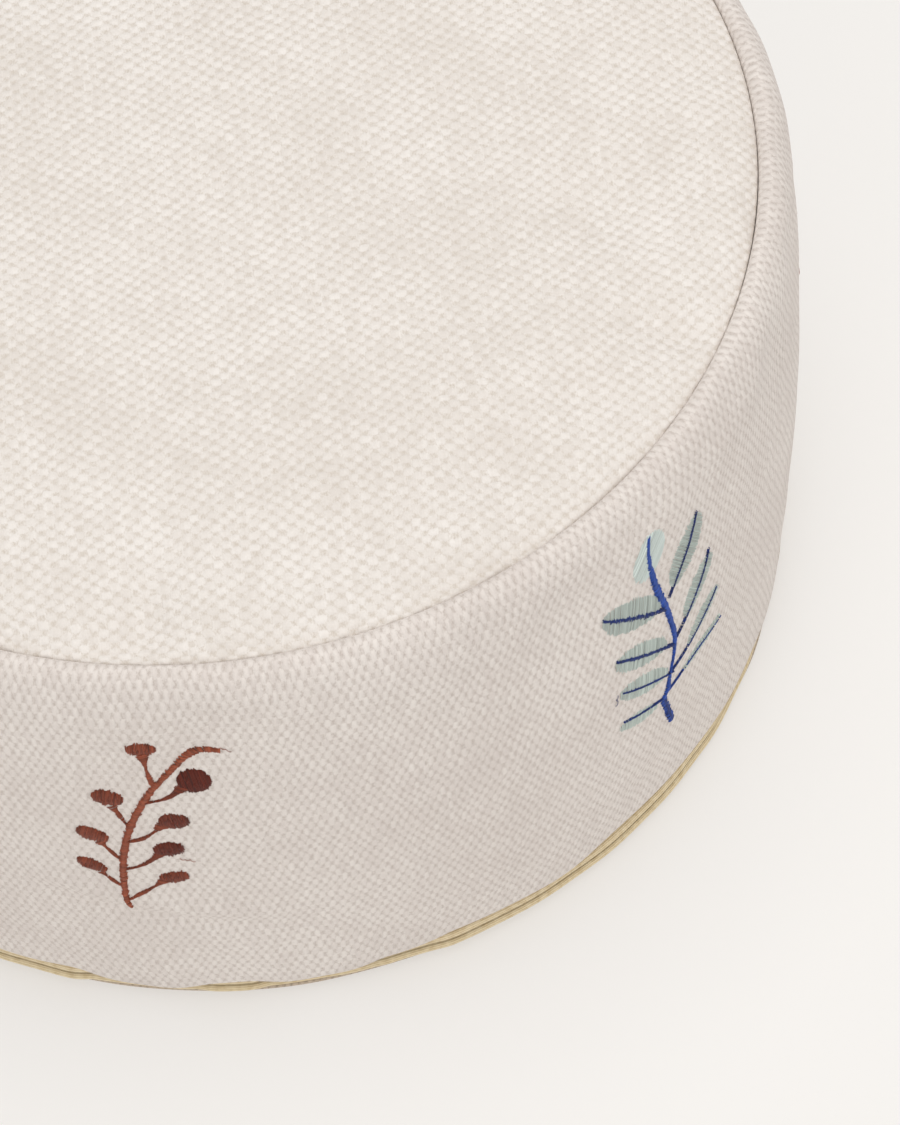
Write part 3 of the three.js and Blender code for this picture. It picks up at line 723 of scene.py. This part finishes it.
UPPER_TAPE = [(235.2, 11.8), (241.5, 11.8), (243.2, 11.5), (243.9, 10.8), (244.8, 10.3), (245.7, 10.4),
              (246.2, 11.1), (246.3, 12), (245.6, 12.8), (243.8, 13.1), (235.2, 13.1)]
LOWER_TAPE = [(235.2, 5.7), (243.8, 5.7), (246, 5.8), (247, 6.3), (247.2, 7), (246.7, 7.6), (245.6, 8.2),
              (244.4, 8), (243.6, 7.4), (241.5, 7), (235.2, 7)]
TAPE_COLUMNS = 420
# Radii between which a tape turns into its lip, and what the lip does where the hem sags fully over it.
LIP_RADII = (0.2415, 0.2445)
FULL_SAG = 3 * MM
LIP_RETREAT = 2 * MM
LIP_DROP = 0.2 * MM


def zip_tape(name, outline):
    section = smooth_path(outline, 1.2)
    az = np.linspace(*TAPE_ARC, TAPE_COLUMNS)
    sag = np.clip(hem_sag(az) / FULL_SAG, 0, 1)[:, None]
    lip = ease(section[:, 0], *LIP_RADII)
    r = section[:, 0] - lip * LIP_RETREAT * sag + lip * 0.12 * MM * ripple(61, az, 5, 40)[:, None]
    z = section[:, 1] - lip * LIP_DROP * sag + lip * 0.1 * MM * ripple(62, az, 8, 50)[:, None]
    return strip_piece(name, az, r, z, arc_lengths(section))


SHARP_ANGLE = math.radians(35)
METAL_EDGE = 0.16 * MM


def bevelled(name, node):
    """A copy of a metal CAD part with its edges rounded."""
    mesh = bpy.data.objects[node].data.copy()
    work = bmesh.new()
    work.from_mesh(mesh)
    bmesh.ops.remove_doubles(work, verts=work.verts, dist=0.01 * MM)
    sharp = [e for e in work.edges if len(e.link_faces) == 2 and e.calc_face_angle(0) > SHARP_ANGLE]
    bmesh.ops.bevel(work, geom=sharp, offset=METAL_EDGE, segments=2, affect="EDGES", clamp_overlap=True)
    work.to_mesh(mesh)
    work.free()
    mesh.materials.clear()
    mesh.polygons.foreach_set("use_smooth", [False] * len(mesh.polygons))
    return new_object(name, mesh)


# --- Materials ---

def colour(red, green, blue):
    """An sRGB colour given from 0 to 255, as the linear colour that a shader takes."""
    channels = [c / 255 for c in (red, green, blue)]
    return (*[c / 12.92 if c <= 0.04045 else ((c + 0.055) / 1.055) ** 2.4 for c in channels], 1)


class Shader:
    """A material with one Principled surface, and short names for the nodes that feed it."""

    def __init__(self, name, roughness=0.9, metallic=0.0, sheen=0.0, specular=0.3):
        self.material = bpy.data.materials.new(name)
        self.material.use_nodes = True
        self.tree = self.material.node_tree
        self.surface = self.tree.nodes["Principled BSDF"]
        settings = {"Roughness": roughness, "Metallic": metallic, "Sheen Weight": sheen,
                    "Sheen Roughness": 0.4, "Specular IOR Level": specular}
        self.feed_all(self.surface, settings)

    def node(self, kind, **settings):
        node = self.tree.nodes.new(kind)
        for key, value in settings.items():
            setattr(node, key, value)
        return node

    def feed(self, socket, value):
        if isinstance(value, bpy.types.NodeSocket):
            self.tree.links.new(value, socket)
        else:
            socket.default_value = value

    def feed_all(self, node, values):
        for label, value in values.items():
            self.feed(node.inputs[label], value)

    def math(self, operation, *values):
        node = self.node("ShaderNodeMath", operation=operation)
        for socket, value in zip(node.inputs, values):
            self.feed(socket, value)
        return node.outputs[0]

    def add(self, a, b):
        return self.math("ADD", a, b)

    def less(self, a, b):
        return self.math("SUBTRACT", a, b)

    def times(self, a, b):
        return self.math("MULTIPLY", a, b)

    def sine(self, angle):
        return self.math("SINE", angle)

    def attribute(self, name):
        return self.node("ShaderNodeAttribute", attribute_name=name)

    def split(self, vector):
        node = self.node("ShaderNodeSeparateXYZ")
        self.feed(node.inputs[0], vector)
        return node.outputs

    def join(self, x, y, z=0.0):
        node = self.node("ShaderNodeCombineXYZ")
        for socket, value in zip(node.inputs, (x, y, z)):
            self.feed(socket, value)
        return node.outputs[0]

    def position(self):
        return self.node("ShaderNodeTexCoord").outputs["Object"]

    def noise(self, vector, scale, detail=2.0, roughness=0.5):
        node = self.node("ShaderNodeTexNoise")
        self.feed_all(node, {"Vector": vector, "Scale": scale, "Detail": detail, "Roughness": roughness})
        return node.outputs[0]

    def random(self, *values):
        """A number from 0 to 1 that is steady for each whole-number address."""
        node = self.node("ShaderNodeTexWhiteNoise", noise_dimensions="3D")
        self.feed(node.inputs["Vector"], self.join(*values))
        return node.outputs[0]

    def remap(self, value, low, high):
        """A smooth step from 0 at low to 1 at high."""
        node = self.node("ShaderNodeMapRange", interpolation_type="SMOOTHSTEP")
        for socket, setting in zip(node.inputs, (value, low, high)):
            self.feed(socket, setting)
        return node.outputs[0]

    def mix(self, share, a, b):
        node = self.node("ShaderNodeMix", data_type="RGBA")
        factor, first, second = (node.inputs[k] for k in (0, 6, 7))
        self.feed(factor, share)
        self.feed(first, a)
        self.feed(second, b)
        return node.outputs[2]

    def paint(self, value):
        self.feed(self.surface.inputs["Base Color"], value)

    def bump(self, height, distance):
        node = self.node("ShaderNodeBump")
        self.feed_all(node, {"Height": height, "Distance": distance, "Strength": 1.0})
        self.feed(self.surface.inputs["Normal"], node.outputs[0])


def yarn(shader, across, along, phase, swing, fullness):
    """The height of one set of yarns: round across each yarn, rising and diving along it."""
    half = shader.less(shader.math("FRACT", across), 0.5)
    arc = shader.less(1.0, shader.math("POWER", shader.times(half, 2.0 / fullness), 2.0))
    body = shader.math("POWER", shader.math("MAXIMUM", arc, 0.0), 1.1)
    wave = shader.times(shader.sine(shader.times(along, math.pi)), phase)
    return shader.add(shader.times(body, 0.55), shader.times(wave, swing))


# How the yarns wander, slowly and from knob to knob: the noise's scale, and its reach in yarns.
SLOW_WANDER = (55, 1.6)
QUICK_WANDER = (330, 0.45)
# What the weave's height is made of: yarns that cross, and a soft checker of knobs.
CROSSING_SHARE, CHECKER_SHARE = 0.35, 0.65
WEFT_DEPTH = 0.2


def wander(shader, where, scale, reach):
    return shader.times(shader.less(shader.noise(where, scale, 2), 0.5), reach)


def plain_weave(shader, u, v, warp_pitch, weft_pitch):
    """Height of a plain weave, from 0 to about 1, and a number for each knob. u and v are in metres."""
    here, there = shader.join(u, v), shader.join(v, u, 3.0)
    across = shader.add(shader.times(u, 1 / warp_pitch), wander(shader, here, *SLOW_WANDER))
    along = shader.add(shader.times(v, 1 / weft_pitch), wander(shader, there, *SLOW_WANDER))
    across = shader.add(across, wander(shader, shader.join(u, v, 7.0), *QUICK_WANDER))
    along = shader.add(along, wander(shader, shader.join(v, u, 9.0), *QUICK_WANDER))
    column, row = shader.math("FLOOR", across), shader.math("FLOOR", along)
    column_sign = shader.math("COSINE", shader.times(column, math.pi))
    row_sign = shader.math("COSINE", shader.times(row, math.pi))
    knob = shader.random(column, row, 0.0)
    warp = yarn(shader, across, along, column_sign, shader.add(0.26, shader.times(knob, 0.2)), 1.15)
    weft = yarn(shader, along, across, shader.times(row_sign, -1.0), WEFT_DEPTH, 1.05)
    weft = shader.less(weft, 0.4 - WEFT_DEPTH)
    crossing = shader.math("SMOOTH_MAX", warp, weft, 0.2)
    checker = shader.times(shader.sine(shader.times(across, math.pi)),
                           shader.sine(shader.times(along, math.pi)))
    soft = shader.add(0.5, shader.times(checker, 0.5))
    return shader.add(shader.times(crossing, CROSSING_SHARE), shader.times(soft, CHECKER_SHARE)), knob


def woven_cloth(name, warp_pitch, weft_pitch, relief, light, painted_shade, turn=0):
    """Thick plain-woven cotton: knobs of slubby yarn, each a little different, with painted shade darkening
    the hollows between them.
    """
    shader = Shader(name, roughness=0.95, sheen=0.05)
    u, v, _ = shader.split(shader.attribute("weave").outputs["Vector"])
    c, s = math.cos(math.radians(turn)), math.sin(math.radians(turn))
    u, v = (shader.add(shader.times(u, c), shader.times(v, -s)),
            shader.add(shader.times(u, s), shader.times(v, c)))
    height, knob = plain_weave(shader, u, v, warp_pitch, weft_pitch)
    fibre = shader.noise(shader.join(u, shader.times(v, 0.6)), 1500, 3, 0.65)
    slub = shader.noise(shader.join(u, shader.times(v, 0.12)), 420, 2)
    broad = shader.noise(shader.position(), 14, 4, 0.6)
    height_for_painted_shade = shader.add(height, shader.times(shader.less(fibre, 0.5), 0.75))
    grain = shader.add(shader.times(slub, 0.3), shader.times(fibre, 0.3))
    tint = shader.add(shader.times(knob, 0.12), shader.add(grain, shader.times(broad, 0.45)))
    yarn_colour = shader.mix(shader.remap(tint, 0.4, 0.8), colour(*light[0]), colour(*light[1]))
    # Painted shade: where the weave is low, in the hollows between knobs, the colour goes to the painted
    # shade colour.
    shader.paint(shader.mix(shader.remap(height_for_painted_shade, -0.05, 0.55), colour(*painted_shade), yarn_colour))
    shader.bump(shader.add(height, shader.times(fibre, 0.3)), relief)
    return shader.material


def thread(name, plain, dyed, roughness=0.5):
    """Shiny cotton thread: each stitch has its own tone, and a dye from 0 to 1 that picks its colour."""
    shader = Shader(name, roughness=roughness)
    tone, dye = shader.attribute("tone").outputs["Fac"], shader.attribute("dye").outputs["Fac"]
    base = shader.mix(dye, colour(*plain), colour(*dyed))
    lightness = shader.math("MAXIMUM", shader.add(1.0, shader.times(tone, 0.7)), 0.3)
    lifted = shader.node("ShaderNodeHueSaturation")
    shader.feed_all(lifted, {"Value": lightness, "Color": base})
    shader.paint(lifted.outputs[0])
    shader.bump(shader.noise(shader.position(), 2500, 2), 0.08 * MM)
    return shader.material


TWILL_PITCH, TAPE_CORD_PITCH = 0.7 * MM, 0.9 * MM
COIL_R, TOOTH_PITCH = 0.243, 1.5 * MM


def tape_cloth(name):
    """Zip tape: fine twill crossed by raised cords that run along it."""
    shader = Shader(name, roughness=0.75, sheen=0.15)
    u, v, _ = shader.split(shader.attribute("weave").outputs["Vector"])
    twill = shader.sine(shader.times(shader.add(u, v), TAU / TWILL_PITCH))
    lines = shader.sine(shader.times(v, TAU / TAPE_CORD_PITCH))
    height = shader.add(shader.times(twill, 0.3), shader.times(lines, 0.4))
    tint = shader.remap(shader.add(shader.times(lines, 0.2), shader.noise(shader.join(u, v), 300)), 0.1, 0.8)
    shader.paint(shader.mix(tint, colour(206, 184, 142), colour(240, 224, 190)))
    shader.bump(height, 0.12 * MM)
    return shader.material


def coil_plastic(name):
    """A coil of teeth, drawn as fine ribs round the zip."""
    shader = Shader(name, roughness=0.4, specular=0.5)
    x, y, _ = shader.split(shader.position())
    teeth = shader.sine(shader.times(shader.math("ARCTAN2", y, x), round(TAU * COIL_R / TOOTH_PITCH)))
    shader.paint(shader.mix(shader.remap(teeth, -1, 1), colour(176, 160, 124), colour(222, 208, 174)))
    shader.bump(teeth, 0.4 * MM)
    return shader.material


def plain_material(name, dark, light, scale, bump, roughness=0.9, metallic=0.0):
    """An even material, mottled between two close colours."""
    shader = Shader(name, roughness=roughness, metallic=metallic)
    spots = shader.noise(shader.position(), scale, 4, 0.6)
    shader.paint(shader.mix(shader.remap(spots, 0.3, 0.7), colour(*dark), colour(*light)))
    shader.bump(spots, bump)
    return shader.material


# Each cloth's painted_shade colour is painted shade, laid in the hollows of its weave.
TOP_CLOTH = woven_cloth("woven_cotton_top", 3.6 * MM, 2.7 * MM, relief=0.55 * MM,
                        light=((226, 219, 212), (242, 237, 232)), painted_shade=(205, 195, 183), turn=-4)
SIDE_CLOTH = woven_cloth("woven_cotton_side", 2.0 * MM, 4.3 * MM, relief=0.5 * MM,
                         light=((221, 212, 206), (237, 230, 224)), painted_shade=(190, 179, 171))
# Painted shade: the base is the cover's cotton painted darker and browner all over, for the shade near the
# floor.
BASE_CLOTH_IN_PAINTED_SHADE = woven_cloth("woven_cotton_base_painted_shade", 1.6 * MM, 1.6 * MM, relief=0.4 * MM,
                         light=((192, 175, 156), (208, 192, 174)), painted_shade=(152, 136, 118))
BERRY_THREAD = thread("berry_thread", (146, 76, 52), (94, 34, 20), 0.6)
LEAF_THREAD = thread("leaf_thread", (192, 202, 196), (208, 218, 214), 0.7)
STEM_THREAD = thread("stem_thread", (38, 74, 158), (24, 38, 92), 0.5)
SEWING_THREAD = thread("sewing_thread", (232, 225, 214), (232, 225, 214), 0.6)
ZIP_TAPE = tape_cloth("zip_tape")
ZIP_COIL = coil_plastic("zip_coil")
BRASS = plain_material("antique_brass", (150, 124, 76), (190, 164, 112), scale=900, roughness=0.35,
                       metallic=1.0, bump=0.05 * MM)
CALICO = plain_material("calico", (232, 228, 218), (244, 241, 234), scale=1400, bump=0.15 * MM)
FIBRE = plain_material("fibre_fill", (236, 234, 229), (250, 249, 246), scale=500, bump=0.8 * MM)


# --- The pieces in place ---

def place(piece, material, slot, *nodes, body="pouf"):
    """Gives a piece its material and body, and names the CAD nodes that it stands for. The slot is not used.
    """
    piece.data.materials.append(material)
    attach(piece, body)
    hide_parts(*nodes)
    return piece


cushion = place(turned_piece("inner_cushion", CUSHION, 10, 200, shape_cushion), CALICO, "lining",
                "liner_side", "liner_top", "liner_base")
fill = place(turned_piece("fibre_fill", CUSHION, 14, 120, shape_filling), FIBRE, "fill", "filling")

top = place(turned_piece("top_panel_cloth", TOP_SHEET, 4, TOP_COLUMNS, shape_top), TOP_CLOTH,
            "cover_cloth", "top_panel")
side = place(side_band(), SIDE_CLOTH, "cover_cloth", "side_band")
base = place(turned_piece("base_panel_cloth", BASE_SHEET, 12, BASE_COLUMNS, shape_base), BASE_CLOTH_IN_PAINTED_SHADE,
             "base_cloth", "base_panel")
tapes = [place(zip_tape("zip_tape_upper", UPPER_TAPE), ZIP_TAPE, "zip_tape", "zipper_tape_upper"),
         place(zip_tape("zip_tape_lower", LOWER_TAPE), ZIP_TAPE, "zip_tape", "zipper_tape_lower")]
place(top_seam_stitches(), SEWING_THREAD, "sewing_thread", "top_seam_thread")
place(join_stitches(), SEWING_THREAD, "sewing_thread", "band_join_thread")

for number, motif in enumerate(FERN_MOTIFS, 1):
    leaves, stem = fern(number, motif_azimuth(motif))
    place(leaves, LEAF_THREAD, "leaf_thread", f"fern_leaves_{number}")
    place(stem, STEM_THREAD, "stem_thread", f"fern_stem_{number}")
for number, motif in enumerate(BERRY_MOTIFS, 1):
    place(berry_sprig(number, motif_azimuth(motif)), BERRY_THREAD, "berry_thread", f"berry_sprig_{number}")

place(bevelled("slider", "zipper_slider"), BRASS, "zip_metal", "zipper_slider", body="slider")
place(bevelled("pull", "zipper_pull"), BRASS, "zip_metal", "zipper_pull", body="pull")
for node in ("zipper_stop_start", "zipper_stop_end", "zipper_coil_upper", "zipper_coil_lower"):
    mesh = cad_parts[node].data
    mesh.materials.clear()
    mesh.materials.append(ZIP_COIL if "coil" in node else BRASS)


# --- Stage, light and camera ---

FLOOR_HALF = 25
FLOOR_COLOUR = (250, 248, 245)
# The floor's share of light that is its own glow, so that the pouf's shadow on it stays soft.
FLOOR_GLOW = 0.5
FLOOR_GLOW_LEVEL = 0.93
WORLD_COLOUR = (1.0, 0.985, 0.97, 1)
WORLD_LEVEL = 0.62
# Each light: its place, what it faces, its size in metres, its power and its tint.
LIGHTS = {
    "overhead": ((0.3, 0.25, 2.4), (0.05, 0.0, 0.1), 1.6, 18, (1.0, 0.985, 0.965)),
    "front": ((-0.5, -2.0, 1.9), (0.0, 0.0, 0.1), 1.8, 14, (1.0, 0.99, 0.975)),
    "right": ((2.2, -0.5, 1.0), (0.0, 0.0, 0.15), 1.2, 3, (1.0, 0.99, 0.975)),
}


def plain_floor():
    corners = [(x * FLOOR_HALF, y * FLOOR_HALF, 0) for x, y in ((-1, -1), (1, -1), (1, 1), (-1, 1))]
    floor = object_from("floor", corners, [(0, 1, 2, 3)], smooth=False)
    shader = Shader("pale_floor", roughness=0.9)
    shader.paint(colour(*(channel * (1 - FLOOR_GLOW) ** (1 / 2.2) for channel in FLOOR_COLOUR)))
    shader.feed_all(shader.surface, {"Emission Color": colour(*FLOOR_COLOUR),
                                     "Emission Strength": FLOOR_GLOW * FLOOR_GLOW_LEVEL})
    floor.data.materials.append(shader.material)


def soft_light(name, where, target, size, power, tint):
    data = bpy.data.lights.new(name, "AREA")
    data.shape, data.size, data.energy, data.color = "SQUARE", size, power, tint
    light = new_object(name, data)
    light.location = where
    light.rotation_euler = (Vector(target) - Vector(where)).to_track_quat("-Z", "Y").to_euler()


def studio():
    world = bpy.data.worlds.new("studio")
    world.use_nodes = True
    background = world.node_tree.nodes["Background"]
    background.inputs["Color"].default_value = WORLD_COLOUR
    background.inputs["Strength"].default_value = WORLD_LEVEL
    bpy.context.scene.world = world
    for name, light in LIGHTS.items():
        soft_light(name, *light)
    bpy.context.scene.view_settings.view_transform = "Standard"


# The camera looks down steeply at the front and right of the pouf, from in front and a little to the right.
CAMERA_PLACE = (0.0944, -1.0307, 1.5853)
CAMERA_TILT = math.radians(57.99)
CAMERA_ROLL = math.radians(-4.41)
CAMERA_LENS, CAMERA_SENSOR = 134.2, 36


def camera():
    data = bpy.data.cameras.new("camera")
    data.lens, data.sensor_width = CAMERA_LENS, CAMERA_SENSOR
    data.clip_start, data.clip_end = 0.05, 50
    view = new_object("camera", data)
    forward = Vector((0, math.cos(CAMERA_TILT), -math.sin(CAMERA_TILT)))
    right = Vector((1, 0, 0))
    up = right.cross(forward)
    c, s = math.cos(CAMERA_ROLL), math.sin(CAMERA_ROLL)
    axes = Matrix((c * right + s * up, -s * right + c * up, -forward)).transposed()
    view.matrix_world = Matrix.Translation(CAMERA_PLACE) @ axes.to_4x4()
    bpy.context.scene.camera = view


plain_floor()
studio()
camera()
